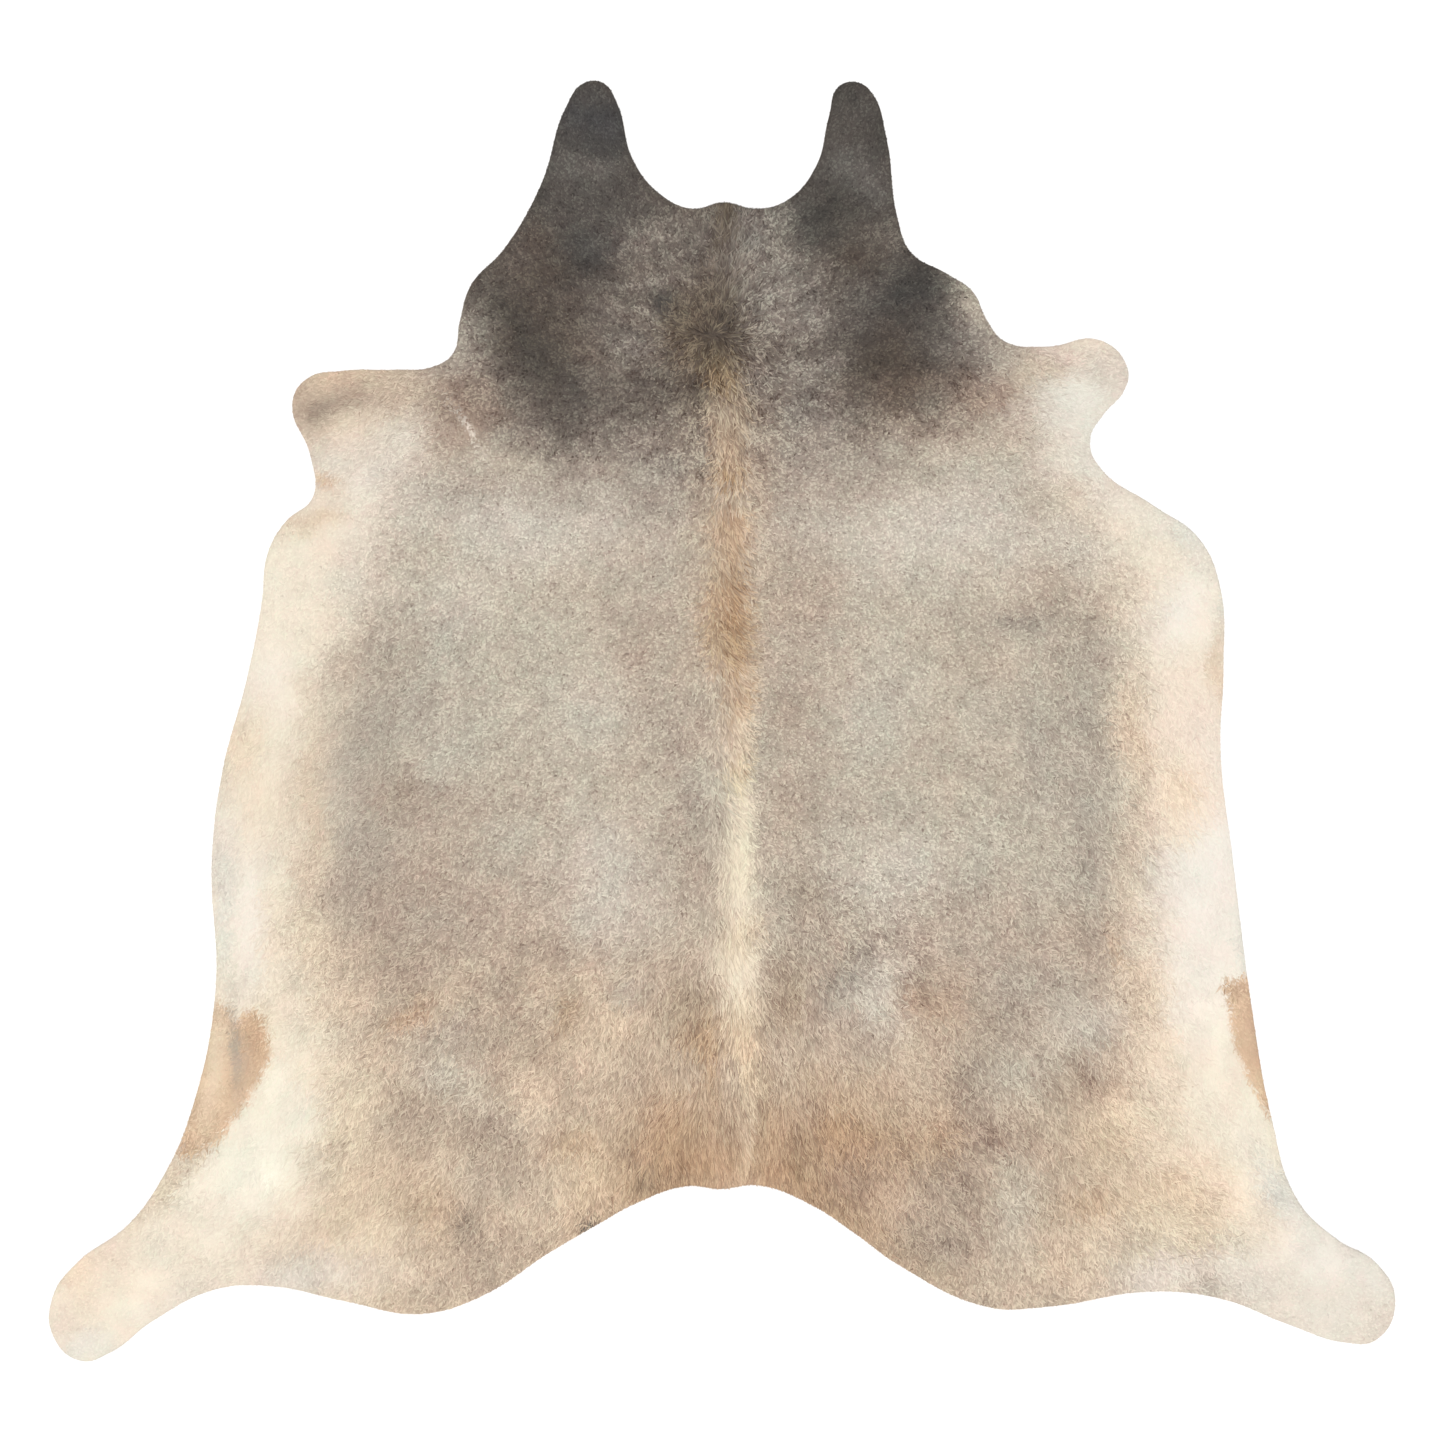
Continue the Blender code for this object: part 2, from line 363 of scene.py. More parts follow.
            (642, -350, 40, 8, -65, "tan", 0.5), (835, -340, 70, 14, 90, "coolWhite", 0.9),
        )),
        ("left lower back", (
            (-600, -430, 50, 70, 0, "fawn", 0.6), (-490, -400, 50, 30, 0, "mauve", 0.7),
            (-440, -440, 70, 16, 40, "fawn", 0.6), (-505, -475, 34, 13, 42, "tan", 0.8),
            (-430, -500, 50, 30, 0, "greige", 0.6), (-340, -430, 40, 25, 0, "mauve", 0.6),
            (-180, -445, 45, 28, 0, "fawn", 0.8), (-275, -420, 36, 28, 0, "fawn", 0.6),
            (-195, -418, 46, 34, 0, "fawn", 0.9), (-240, -465, 22, 30, 0, "tan", 0.6),
            (-140, -420, 25, 20, 0, "greige", 0.8),
        )),
        ("left of the tail", (
            (-46, -452, 40, 45, 0, "flax", 0.9), (-22, -494, 28, 30, 0, "tan", 0.8),
        )),
        ("left haunch", (
            (-345, -530, 35, 50, 0, "mauve", 0.4), (-430, -560, 45, 28, 0, "khaki", 0.8),
            (-500, -640, 34, 44, 0, "mauve", 0.7), (-390, -650, 80, 26, -32, "mauve", 0.75),
            (-415, -590, 85, 20, -38, "khaki", 0.5), (-250, -590, 60, 50, 0, "fawn", 0.6),
            (-240, -660, 26, 30, 0, "tan", 0.7), (-360, -722, 50, 24, -20, "khaki", 0.5),
            (-370, -745, 50, 28, 0, "sand", 0.6), (-470, -765, 50, 34, -40, "biscuit", 0.8),
            (-405, -800, 40, 26, -60, "mauve", 0.7), (-385, -885, 50, 32, -55, "mauve", 0.8),
            (-250, -735, 60, 38, 0, "sand", 0.8), (-450, -905, 55, 28, 20, "sand", 0.8),
            (-592, -640, 80, 46, 90, "oat", 0.95), (-570, -810, 80, 50, 60, "oat", 0.6),
            (-690, -880, 120, 40, 5, "linen", 0.9), (-315, -835, 45, 28, 20, "mauve", 0.55),
            (-198, -722, 42, 56, 0, "barley", 0.9),
        )),
        ("rump", (
            (-58, -612, 56, 40, 0, "tan", 0.5), (-70, -680, 90, 60, 0, "tan", 0.95),
            (-130, -735, 30, 30, 0, "tan", 0.9), (-75, -738, 60, 24, -5, "saddle", 0.7),
            # the thin clay row at (-137, -705) is painted shade along a crease of the hide
            (-137, -705, 40, 8, 120, "clay", 0.5), (130, -735, 60, 30, -25, "saddle", 0.5),
            (178, -648, 40, 26, 0, "saddle", 0.95), (96, -640, 36, 36, 0, "tan", 0.6),
            (170, -655, 80, 45, 0, "tan", 0.95), (130, -725, 70, 35, -20, "tan", 0.95),
            (180, -575, 70, 40, 0, "tan", 0.5), (270, -690, 60, 50, 0, "tan", 0.45),
            (342, -651, 40, 38, 0, "tan", 0.7), (200, -790, 100, 40, -38, "tan", 0.9),
            (300, -850, 70, 35, -38, "biscuit", 0.8), (-190, -790, 70, 35, 30, "biscuit", 0.8),
        )),
        ("right lower back", (
            (102, -440, 36, 55, 0, "flax", 0.75), (200, -400, 55, 30, 60, "mist", 0.9),
            (258, -425, 44, 50, 0, "pebble", 0.95), (308, -430, 20, 45, 0, "clay", 0.7),
            (355, -445, 50, 32, -20, "tan", 0.45), (470, -440, 70, 45, 0, "greige", 0.7),
        )),
        ("right haunch", (
            (405, -575, 42, 55, 0, "mauve", 0.8), (420, -650, 45, 40, 0, "mauve", 0.8),
            (575, -492, 50, 34, 0, "pebble", 0.7), (485, -555, 55, 35, 0, "khaki", 0.75),
            (592, -574, 46, 20, -12, "clay", 0.9), (445, -660, 36, 24, 0, "clay", 1.0),
            (310, -540, 45, 55, 0, "fawn", 0.5), (385, -730, 60, 50, 0, "mauve", 0.8),
            (470, -775, 28, 70, -6, "khaki", 0.75), (575, -758, 44, 22, 0, "tan", 0.5),
            (600, -650, 60, 50, 0, "barley", 0.7), (690, -755, 80, 36, 0, "barley", 0.6),
            (260, -750, 70, 45, -30, "clay", 0.35), (690, -650, 60, 40, 0, "oat", 0.6),
            (570, -865, 70, 35, 0, "fawn", 0.8), (705, -836, 50, 34, 0, "peach", 0.75),
            (745, -752, 44, 34, -30, "barley", 0.7), (740, -815, 100, 45, 0, "oat", 0.9),
            (355, -830, 50, 45, 0, "mauve", 0.9), (460, -880, 40, 40, 0, "sand", 0.7),
            (715, -885, 80, 40, 0, "linen", 1.0), (735, -878, 40, 26, 0, "blush", 0.5),
            (805, -885, 50, 40, 0, "linen", 0.6), (785, -900, 20, 25, 20, "mauve", 0.5),
        )),
        ("left hind leg and foot", (
            (-960, -835, 80, 22, 40, "blush", 0.8), (-888, -745, 80, 26, 55, "oat", 1.0),
            (-800, -735, 55, 34, 45, "butter", 0.9), (-1020, -1005, 60, 20, 0, "coolWhite", 0.8),
            (-1060, -950, 40, 20, 90, "blush", 0.7), (-1035, -885, 50, 45, 0, "peach", 0.9),
            (-880, -930, 60, 20, 30, "linen", 0.6), (-805, -880, 60, 32, 10, "cream", 0.8),
        )),
        ("right hind leg and foot", (
            (795, -728, 60, 34, -40, "peach", 0.7), (905, -745, 90, 22, -60, "coolWhite", 0.9),
            (1040, -880, 60, 25, -40, "coolWhite", 0.5), (1000, -975, 60, 20, -10, "linen", 0.9),
            (880, -890, 90, 40, -20, "linen", 0.6), (960, -850, 80, 40, -35, "ivory", 0.6),
        )),
        ("left hind leg, cream", (
            (-890, -815, 80, 40, 45, "cream", 0.8),
        )),
    ),
    "patchFall": 0.69,
    "marks": (  # patches with a clearer edge: place, colour, strength, softness, corners
        ("left loin, tan", "caramel", 0.85, 7, (
            (-762, -459), (-742, -462), (-726, -478), (-720, -510), (-723, -542), (-736, -568),
            (-752, -594), (-766, -619), (-784, -645), (-803, -667), (-827, -683), (-848, -693),
            (-867, -686), (-851, -622), (-838, -558), (-830, -502), (-819, -459), (-810, -446),
            (-790, -451), (-781, -478), (-770, -472))),
        ("right loin, tan", "caramel", 0.85, 6, (
            (798, -416), (802, -406), (816, -410), (829, -403), (854, -406), (864, -462), (874, -518),
            (886, -582), (886, -630), (874, -626), (846, -574), (822, -518), (806, -461))),
    ),
    "overMarks": (  # soft patches that lie over those
        ("loins, inside the tan marks", (
            (-742, -510, 45, 20, 85, "tan", 0.45), (-812, -530, 90, 18, 84, "oat", 0.75),
            (-778, -515, 60, 7, 95, "mist", 0.7), (-770, -540, 34, 17, 95, "mist", 0.35),
            (862, -510, 60, 10, -78, "clay", 0.5),
        )),
        ("left rump, dark spot", (
            (-209, -797, 13, 9, 80, "slate", 0.95),
        )),
        ("nape and neck, left", (
            (-118, 762, 52, 28, 0, "stone", 0.5), (102, 740, 38, 32, 0, "mist", 0.25),
            (-188, 650, 26, 20, 0, "stone", 0.4), (-118, 645, 24, 20, -50, "mist", 0.55),
            (-94, 665, 14, 18, 0, "charcoal", 0.95), (-136, 617, 32, 7, -32, "slate", 0.75),
            (-160, 606, 36, 15, -20, "stone", 0.75), (-60, 652, 26, 24, 0, "olive", 0.7),
        )),
        ("right of the whorl", (
            (48, 622, 24, 42, 0, "stone", 0.3), (222, 640, 36, 36, 0, "slate", 0.85),
        )),
        ("nape's light folds", (
            (-128, 698, 58, 5, 2, "stone", 0.55), (-58, 799, 42, 4, 0, "stone", 0.5),
            (-52, 783, 44, 4, -4, "stone", 0.5), (-46, 767, 44, 4, 3, "stone", 0.5),
            (-50, 743, 44, 4, 2, "stone", 0.5),
        )),
        ("neck, right", (
            (-11, 705, 4, 4, 0, "soot", 0.9), (138, 633, 42, 15, 8, "stone", 0.5),
        )),
        ("left foreleg's smudge", (
            (-640, 502, 15, 9, 35, "bark", 0.5), (-594, 517, 26, 7, 35, "clay", 0.55),
            (-626, 508, 44, 16, 32, "mauve", 0.5),
        )),
        ("neck's folds, right", (
            (172, 594, 40, 10, 25, "slate", 0.3), (172, 573, 26, 10, 15, "stone", 0.85),
            (118, 560, 46, 15, 8, "mist", 0.4),
        )),
        ("left shoulder's scar", (
            (-405, 471, 46, 2.8, -59, "linen", 1.0),
        )),
        ("withers, the spine's core", (
            (12, 195, 90, 8, 88, "saddle", 0.6),
        )),
        ("nape and whorl, right", (
            (50, 762, 16, 24, 0, "ash", 0.75), (60, 553, 24, 22, 0, "stone", 0.45),
        )),
        ("shoulders, deeper", (
            (-394, 520, 36, 34, 0, "taupe", 0.4), (-285, 560, 70, 40, -60, "umber", 0.3),
            (-352, 600, 26, 30, 0, "umber", 0.35), (264, 580, 34, 28, 0, "umber", 0.7),
        )),
        ("right flank", (
            (650, -190, 50, 36, 90, "sand", 0.35),
        )),
        ("rump", (
            # the first two thin bark rows are painted shade in a crease of the hide
            (-150, -680, 14, 4, -75, "bark", 0.7), (-133, -720, 22, 5, -75, "bark", 0.7),
            (-110, -724, 26, 16, 0, "gold", 0.25), (10, -700, 150, 55, 0, "tan", 0.4),
            (196, -715, 40, 44, 0, "clay", 0.55), (125, -622, 34, 36, 0, "clay", 0.45),
            (-208, -712, 36, 26, 0, "barley", 0.65),
        )),
        ("below the whorl", (
            (4, 520, 21, 17, 0, "mauve", 0.55),
        )),
        ("tail root", (
            (-16, -530, 60, 13, 90, "tan", 0.7), (64, -560, 40, 12, 90, "tan", 0.4),
        )),
        ("spine, rosy streaks", (
            (44, -330, 34, 6, 80, "clay", 0.3),
        )),
    ),
    "spine": (  # along, across, half width, colour, strength
        (840, 2, 15, "olive", 0.9), (800, 2, 16, "olive", 0.95), (768, 0, 15, "olive", 0.8),
        (745, -12, 16, "taupe", 0.5), (715, -18, 22, "bark", 0.5), (680, -16, 27, "olive", 0.65),
        (645, -14, 27, "olive", 0.8), (622, -14, 20, "umber", 0.75), (604, -10, 22, "olive", 0.75),
        (585, -5, 23, "bronze", 0.75), (562, -3, 20, "gold", 0.85), (542, 4, 22, "gold", 0.7),
        (515, 12, 30, "flax", 0.85), (490, 6, 24, "biscuit", 0.75), (465, 8, 22, "biscuit", 0.85),
        (436, 8, 22, "biscuit", 0.85), (412, 8, 22, "tawny", 0.95), (386, 9, 23, "rye", 0.8),
        (358, 13, 21, "sand", 0.85), (330, 11, 26, "rye", 0.8), (300, 11, 30, "rye", 0.7),
        (262, 8, 25, "rye", 0.6), (222, 7, 28, "rye", 0.8), (180, 9, 32, "tawny", 0.8),
        (140, 8, 34, "tawny", 0.8), (108, 14, 30, "rye", 0.7), (84, 24, 25, "fawn", 0.8),
        (55, 23, 24, "bran", 0.8), (20, 20, 22, "fawn", 0.9), (-20, 22, 20, "fawn", 0.9),
        (-58, 24, 18, "straw", 0.95), (-105, 26, 18, "milk", 1.0), (-170, 25, 21, "wheat", 1.0),
        (-250, 27, 22, "wheat", 1.0), (-290, 31, 27, "milk", 1.0), (-325, 31, 31, "oat", 1.0),
        (-370, 27, 29, "milk", 1.0), (-415, 27, 27, "milk", 0.85), (-465, 30, 24, "barley", 0.85),
        (-520, 38, 15, "barley", 0.95), (-590, 41, 12, "barley", 0.9), (-645, 40, 9, "fawn", 0.9),
        (-700, 34, 8, "barley", 0.9), (-750, 34, 8, "barley", 0.9),
    ),
    "spineSoftness": 0.85,
    "warp": ((90, 16), (35, 10), (13, 5)),  # bump size, shift: the edges of colours wander
    "steadier": {"marks": 4, "spine": 3},  # these wander this many times less
    "mottle": ((75, 0.03), (36, 0.035), (18, 0.028)),  # bump size, share of the brightness
    "cloudy": (-300, -480, 1.15),  # from here down to there along the hide it grows by this share
    "wrinkles": (  # folds of the neck's skin: across, along, reach, share of the brightness, angle
        (-70, 765, 85, 0.19, 3), (90, 770, 80, 0.12, -6), (-170, 630, 85, 0.16, -28),
        (-150, 560, 60, 0.14, 18), (150, 590, 80, 0.14, 16), (-330, 680, 60, 0.1, -30),
        (120, 60, 110, 0.04, 0), (200, 430, 110, 0.05, 12),
    ),
    "wrinkleSize": (55, 9),  # along and across a fold
    "lightGain": (  # brightness, and how much brighter the studio's light makes hair of it
        (0.07, 1.39), (0.11, 1.33), (0.15, 1.26), (0.2, 1.16), (0.3, 1.185), (0.4, 1.18), (0.5, 1.19),
        (0.6, 1.215), (0.7, 1.27), (0.8, 1.35), (0.9, 1.375),
    ),
    "warmGain": -0.009,  # and warmer by this share
    "shine": 0.015,  # and its gloss adds this much
    "darkest": 0.004,
    "grainAt": (0.05, 0.12, 0.16, 0.3, 0.43, 0.5, 0.56, 0.62, 0.7),  # brightness of the hair
    "grain": (0.37, 0.38, 0.42, 0.25, 0.205, 0.155, 0.075, 0.02, 0.01),  # how much its locks differ there
    "tint": (  # bump size, share, and which way red, green and blue go
        (110, 0.012, (1, -0.1, -0.9)), (45, 0.015, (1, -0.3, -0.7)), (20, 0.014, (1, -0.6, -0.4)),
        (9, 0.014, (0.9, -0.9, 0)), (5, 0.012, (1, -0.4, -0.6)),
    ),
}


def depthIn(ring, x, y):
    # How far each point is inside a ring; below zero outside it
    start, end = ring, np.roll(ring, -1, axis=0)
    side = end - start
    rise = np.where(side[:, 1] == 0, 1, side[:, 1])
    depth = np.empty(len(x))
    batch = 2000  # points at a time, to spare memory
    for first in range(0, len(x), batch):
        across, along = x[first:first + batch, None], y[first:first + batch, None]
        share = (across - start[:, 0]) * side[:, 0] + (along - start[:, 1]) * side[:, 1]
        share = np.clip(share / (side ** 2).sum(1), 0, 1)
        gap = np.hypot(across - start[:, 0] - share * side[:, 0], along - start[:, 1] - share * side[:, 1])
        meets = start[:, 0] + (along - start[:, 1]) / rise * side[:, 0]
        crossed = ((start[:, 1] > along) != (end[:, 1] > along)) & (across < meets)
        depth[first:first + batch] = gap.min(1) * np.where(crossed.sum(1) % 2 == 1, 1, -1)
    return depth


def rowsBetween(rows, along, column):
    # The colour between named rows, read down the hide
    places = np.array([row[0] for row in rows], float)
    shades = np.array([linearColour(palette[row[column]]) for row in rows])
    order = np.argsort(places)
    return np.stack([np.interp(along, places[order], shades[order, k]) for k in range(3)], axis=-1)


def twoSided(rows, across, along):
    toRight = easeStep(-coat["sideSoftness"], coat["sideSoftness"], across)[:, None]
    return rowsBetween(rows, along, 1) * (1 - toRight) + rowsBetween(rows, along, 2) * toRight


def mixInto(shades, shade, amount):
    return shades + (shade - shades) * amount[:, None]


def mixPatches(shades, places, across, along):
    # Soft patches, strongest in the middle, half as strong at half their size
    for row in [row for _, rows in places for row in rows]:
        left, up, halfLong, halfWide, angle, colour, strength = row
        turn = np.radians(angle)
        lengthwise = ((across - left) * np.cos(turn) + (along - up) * np.sin(turn)) / halfLong
        crosswise = ((along - up) * np.cos(turn) - (across - left) * np.sin(turn)) / halfWide
        amount = strength * np.exp(-coat["patchFall"] * (lengthwise ** 2 + crosswise ** 2))
        shades = mixInto(shades, linearColour(palette[colour]), amount)
    return shades


def coatAt(x, y):
    # The coat's colour as seen: back, belly and neck, then patches, marks, spine, clouds and folds
    shift = [layeredNoise(x, y, coat["warp"], seed) for seed in seeds["warp"]]
    across, along = x + shift[0], y + shift[1]
    shades = twoSided(coat["back"], across, along)
    belly = np.array(coat["bellyEdge"], float)[::-1]
    leftEdge, rightEdge = [np.interp(along, belly[:, 0], belly[:, k]) for k in (1, 2)]
    outside = np.maximum(leftEdge - across, across - rightEdge)
    inBelly = easeStep(-coat["bellySoftness"], coat["bellySoftness"], outside)
    shades = mixInto(shades, twoSided(coat["belly"], across, along), inBelly)
    cape = np.array(coat["capeEdge"], float)
    capeLine, softness = [np.interp(across, cape[:, 0], cape[:, k]) for k in (1, 2)]
    inCape = easeStep(-1, 1, (along - capeLine) / softness) * (np.abs(across) < coat["capeReach"])
    shades = mixInto(shades, twoSided(coat["cape"], across, along), inCape)
    shades = mixPatches(shades, coat["patches"], across, along)
    wavyX, wavyY = [place + drift / coat["steadier"]["marks"] for place, drift in zip((x, y), shift)]
    for _, colour, strength, softness, corners in coat["marks"]:
        ring = np.array(corners, float)
        low, high = ring.min(axis=0) - 2 * softness, ring.max(axis=0) + 2 * softness
        near = (wavyX > low[0]) & (wavyX < high[0]) & (wavyY > low[1]) & (wavyY < high[1])
        amount = np.zeros(len(x))
        amount[near] = strength * easeStep(-softness, softness, depthIn(ring, wavyX[near], wavyY[near]))
        shades = mixInto(shades, linearColour(palette[colour]), amount)
    rows = sorted(coat["spine"])
    places = [row[0] for row in rows]
    middle = np.interp(along, places, [row[1] for row in rows])
    halfWidth = np.interp(along, places, [row[2] for row in rows])
    strength = np.interp(along, places, [row[4] for row in rows], right=0)
    away = np.abs(x + shift[0] / coat["steadier"]["spine"] - middle) / halfWidth
    amount = strength * (1 - easeStep(1 - coat["spineSoftness"], 1 + coat["spineSoftness"], away))
    shades = mixInto(shades, rowsBetween(rows, along, 3), amount)
    shades = mixPatches(shades, coat["overMarks"], wavyX, wavyY)
    start, end, more = coat["cloudy"]
    cloudy = 1 + more * easeStep(-start, -end, -y)
    mottle = 1 + cloudy * layeredNoise(x, y, coat["mottle"], seeds["mottle"])
    folds = np.ones(len(x))
    for k, (left, up, reach, share, angle) in enumerate(coat["wrinkles"]):
        turn = np.radians(angle)
        lengthwise = (x * np.cos(turn) + y * np.sin(turn)) / coat["wrinkleSize"][0]
        crosswise = (y * np.cos(turn) - x * np.sin(turn)) / coat["wrinkleSize"][1]
        near = np.exp(-((x - left) ** 2 + (y - up) ** 2) / reach ** 2)
        folds += share * near * softNoise(lengthwise, crosswise, 1, seeds["folds"] + k)
    return shades * (mottle * folds)[:, None] * tintAt(x, y)


def hairColour(x, y):
    # The hair's own colour, which the light and its gloss turn into the seen one
    seen = coatAt(x, y)
    gain = np.interp(seen.mean(axis=1), *zip(*coat["lightGain"]))
    warmer = 1 + coat["warmGain"] * np.array([1, 0, -1])
    return np.maximum(seen - coat["shine"], coat["darkest"]) / (gain[:, None] * warmer)


def grainAt(shades):
    # How much locks differ in brightness: a lot on the mixed back, hardly on the pale belly
    return np.interp(shades.mean(axis=1), coat["grainAt"], coat["grain"])


def tintAt(x, y):
    # Slow swings between warmer and cooler hair, quick ones between rosy and greenish
    swing = sum(share * softNoise(x, y, size, seeds["tint"] + k)[:, None] * np.array(way)
                for k, (size, share, way) in enumerate(coat["tint"]))
    return np.exp(swing)


# The way the hair lies

flow = {
    "whorl": (-15, 617),  # across, along: the hair parts here toward the neck and the rump
    "rows": (  # across and along on the right side, angle: 0 outward, 90 toward the neck
        (0, 800, 90), (0, 660, 90), (60, 720, 60), (210, 950, 70), (200, 760, 30), (130, 640, 10),
        (380, 640, -10), (0, 580, -90), (60, 560, -45), (200, 480, -25), (400, 480, -25),
        (610, 560, 5), (500, 540, -5), (560, 430, -40), (40, 300, -60), (108, 114, -10),
        (250, 250, -35), (450, 250, -45), (650, 250, -60), (750, 100, -68), (600, 0, -60),
        (400, 0, -45), (220, -60, -26), (60, -100, -35), (0, 0, -90), (0, -300, -90),
        (80, -350, -65), (250, -300, -50), (450, -300, -50), (650, -300, -60), (780, -300, -70),
        (60, 220, -35), (60, 60, -24), (60, 0, -26),
        (850, -600, -65), (60, -600, -80), (200, -600, -75), (350, -650, -70), (500, -700, -65),
        (650, -700, -55), (500, -900, -75), (850, -830, -45), (1000, -930, -30),
        (100, -720, -88), (300, -820, -80),
    ),
    "reach": 70,  # how far a row's say goes before its neighbours take over
    "burst": 70,  # this near the whorl the hair points straight away from it
    "burstPull": 3,  # and this many times as strongly as the rows say otherwise
    "drift": ((60, 10), (22, 16)),  # bump size, degrees: the lie wanders
    "combed": (  # here the hair lies in clear streaks: across, along, reach, share
        (-5, 595, 80, 0.5), (20, -720, 290, 1.0), (20, -480, 200, 0.45), (-620, -700, 320, 0.6),
        (640, -700, 320, 0.6), (-720, -100, 240, 0.5), (740, -100, 240, 0.5), (-590, 500, 130, 0.5),
        (570, 520, 130, 0.5),
    ),
    "ridge": (14, 34, 0.8),  # and along the spine, away from the whorl: across, half width, share
    "streaks": ((4, 0.9), (8, 0.9), (17, 0.7)),  # size, share: locks that stick together differ in brightness
    "streakStep": (2.5, 10),  # how far a streak is drawn out, where ruffled and where combed
    "streakGain": 1.6,  # drawing out evens the noise, so it is made stronger again
}


def flowAt(x, y):
    # The direction in which the hair points, in radians, mirrored about the spine
    headX, headY = np.zeros(len(x)), np.zeros(len(x))
    for across, along, angle in flow["rows"]:
        for side in (1, -1):
            turn = np.radians(angle if side > 0 else 180 - angle)
            away = (x - flow["whorl"][0] - side * across) ** 2 + (y - along) ** 2
            weight = 1 / (away + flow["reach"] ** 2) ** 2
            headX += weight * np.cos(turn)
            headY += weight * np.sin(turn)
    outX, outY = x - flow["whorl"][0], y - flow["whorl"][1]
    away, total = np.hypot(outX, outY), np.hypot(headX, headY)
    burst = flow["burstPull"] * np.exp(-(away / flow["burst"]) ** 2)
    headX = headX / total + burst * outX / np.maximum(away, 1)
    headY = headY / total + burst * outY / np.maximum(away, 1)
    wander = layeredNoise(x, y, flow["drift"], seeds["lie"])
    return np.arctan2(headY, headX) + np.radians(wander)


def combedAt(x, y):
    # 1 where the hair lies in clear streaks, 0 where it is ruffled
    middle, halfWidth, share = flow["ridge"]
    nearWhorl = np.exp(-((y - flow["whorl"][1]) / flow["burst"]) ** 2)
    ruffled = 1 - share * np.exp(-((x - middle) / halfWidth) ** 2) * (1 - nearWhorl)
    for across, along, reach, share in flow["combed"]:
        ruffled = ruffled * (1 - share * np.exp(-((x - across) ** 2 + (y - along) ** 2) / reach ** 2))
    return 1 - ruffled


def streakAt(x, y, lie, combed):
    # Noise drawn out along the lie of the hair, about 1 at most either way
    step = flow["streakStep"][0] + (flow["streakStep"][1] - flow["streakStep"][0]) * combed
    total = np.zeros(len(x))
    stops = (-1, -0.5, 0, 0.5, 1)
    for k, (size, share) in enumerate(flow["streaks"]):
        for along in stops:
            reach = along * step * size / flow["streaks"][0][0]
            seen = softNoise(x + reach * np.cos(lie), y + reach * np.sin(lie), size, seeds["streaks"] + k)
            total += share * seen / len(stops)
    return total * flow["streakGain"]


# The outline, read from the CAD hide's rim

outlineReading = {
    "node": "cowhide",
    "rimHeight": 1.7,  # the rim reaches furthest out here
    "smoothing": 3,  # points for each of the CAD's own
    "gridStep": 16,  # coarse grid of distances, made exact near the rim
    "gridMargin": 40,
    "nearRim": 40,
}


def readOutline():
    # The ring of edges at the rim's height, walked round once, counterclockwise
    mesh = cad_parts[outlineReading["node"]].data
    beside = {}
    for edge in mesh.edges:
        ends = [mesh.vertices[i].co / mm for i in edge.vertices]
        if all(abs(end.z - outlineReading["rimHeight"]) < 0.01 for end in ends):
            here, there = [(round(end.x, 2), round(end.y, 2)) for end in ends]
            if here != there:
                beside.setdefault(here, set()).add(there)
                beside.setdefault(there, set()).add(here)
    ring = [min(beside)]
    ahead = min(beside[ring[0]])
    while ahead != ring[0]:
        last = ring[-1]
        ring.append(ahead)
        ahead = next(place for place in beside[ahead] if place != last)
    ring = np.array(ring)
    following = np.roll(ring, -1, axis=0)
    turning = (ring[:, 0] * following[:, 1] - ring[:, 1] * following[:, 0]).sum()
    return ring if turning > 0 else ring[::-1]


def smoothRing(ring, steps):
    # More points between those of a ring, on a curve through them
    before, after, beyond = np.roll(ring, 1, 0), np.roll(ring, -1, 0), np.roll(ring, -2, 0)
    parts = []
    for step in range(steps):
        t = step / steps
        parts.append(0.5 * (2 * ring + (after - before) * t
                     + (2 * before - 5 * ring + 4 * after - beyond) * t ** 2
                     + (3 * ring - before - 3 * after + beyond) * t ** 3))
    return np.stack(parts, axis=1).reshape(-1, 2)


def insideBy(points):
    # How far points are inside the outline, from a coarse grid, made exact where the rim is near
    step = outlineReading["gridStep"]
    column, row = (points[:, 0] - gridX[0]) / step, (points[:, 1] - gridY[0]) / step
    i = np.clip(np.floor(column).astype(int), 0, len(gridX) - 2)
    j = np.clip(np.floor(row).astype(int), 0, len(gridY) - 2)
    s, t = column - i, row - j
    depth = ((gridDepth[j, i] * (1 - s) + gridDepth[j, i + 1] * s) * (1 - t)
             + (gridDepth[j + 1, i] * (1 - s) + gridDepth[j + 1, i + 1] * s) * t)
    near = np.abs(depth) < outlineReading["nearRim"]
    depth[near] = depthIn(outline, points[near, 0], points[near, 1])
    return depth


outline = smoothRing(readOutline(), outlineReading["smoothing"])
margin = outlineReading["gridMargin"]
gridX, gridY = [np.arange(places.min() - margin, places.max() + margin, outlineReading["gridStep"])
                for places in outline.T]
gridPoints = np.stack(np.meshgrid(gridX, gridY), axis=-1).reshape(-1, 2)
gridDepth = depthIn(outline, gridPoints[:, 0], gridPoints[:, 1]).reshape(len(gridY), len(gridX))


def insetRing(inset):
    # The outline moved inward
    ahead = np.roll(outline, -1, axis=0) - np.roll(outline, 1, axis=0)
    inward = np.stack([-ahead[:, 1], ahead[:, 0]], axis=1)
    return outline + inset * inward / np.linalg.norm(inward, axis=1)[:, None]


def staggeredGrid(spacing):
    # Points over the whole hide, every second row half a step aside
    rowStep = spacing * 0.866  # an even triangle's height
    x, y = np.meshgrid(np.arange(gridX[0], gridX[-1], spacing), np.arange(gridY[0], gridY[-1], rowStep))
    x = x + (np.arange(len(y)) % 2)[:, None] * spacing / 2
    return np.stack([x.ravel(), y.ravel()], axis=1)


